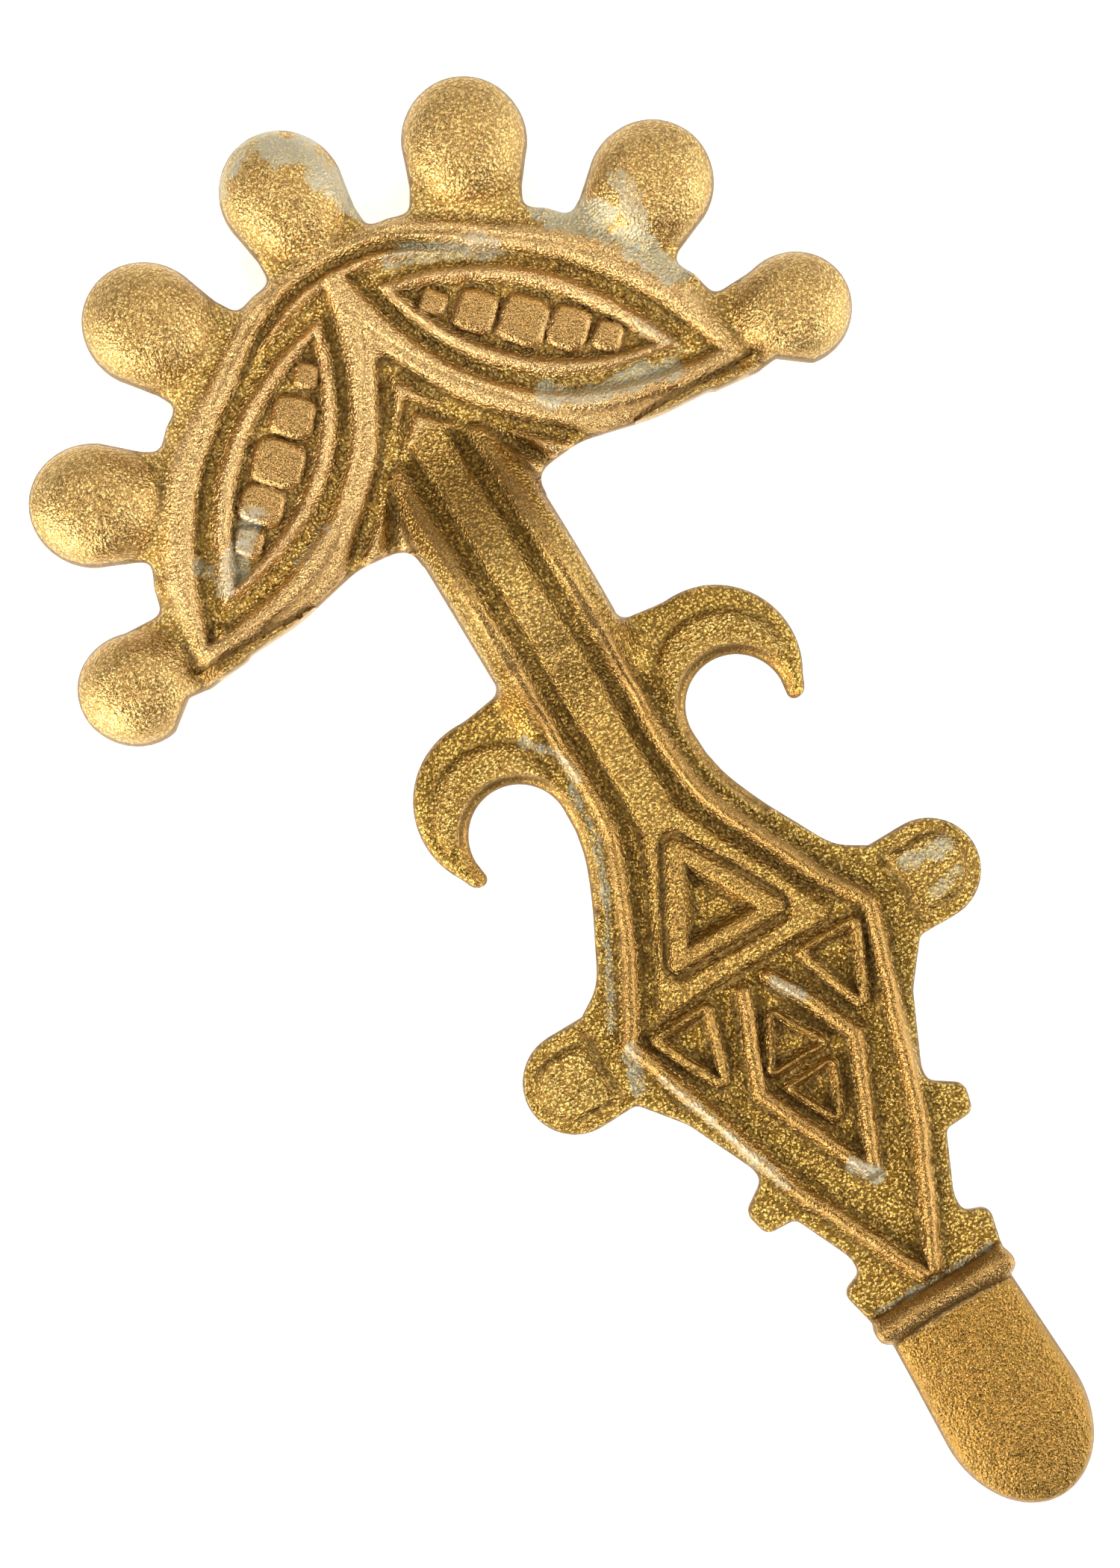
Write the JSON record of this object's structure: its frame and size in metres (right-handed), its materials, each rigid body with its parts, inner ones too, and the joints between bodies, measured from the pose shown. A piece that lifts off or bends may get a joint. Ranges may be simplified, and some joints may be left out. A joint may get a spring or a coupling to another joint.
{
  "type": "fibula brooch",
  "caption": "Radiate-headed bow brooch lying on its back: knobbed semicircular head-plate, arched bow, lozenge foot-plate and a sprung pin behind.",
  "frame": {"origin": "centre of the footprint, on the surface that the brooch lies on", "axes": "+Y along the brooch from the tongue to the middle knob, +Z out of the front, up as it lies, +X to the right of the front"},
  "size_m": [0.0488, 0.0878, 0.0121],
  "materials": {
    "cast_brass": "cast, gilt, worn bright on the high parts, dark in the hollows, grey-green patina in places",
    "axle_brass": "turned, dull",
    "pin_wire": "drawn wire, smooth"
  },
  "bodies": {
    "brooch": {"brooch_casting": "cast_brass", "spring_axle": "axle_brass"},
    "pin": {"sprung_pin": "pin_wire"}
  },
  "joints": [
    {"name": "pin_opening", "type": "hinge", "parent": "brooch", "child": "pin", "pos_m": [0, 0.029, 0.0031], "axis": [1, 0, 0], "range_deg": [0, 35], "deforming": ["sprung_pin"]}
  ]
}
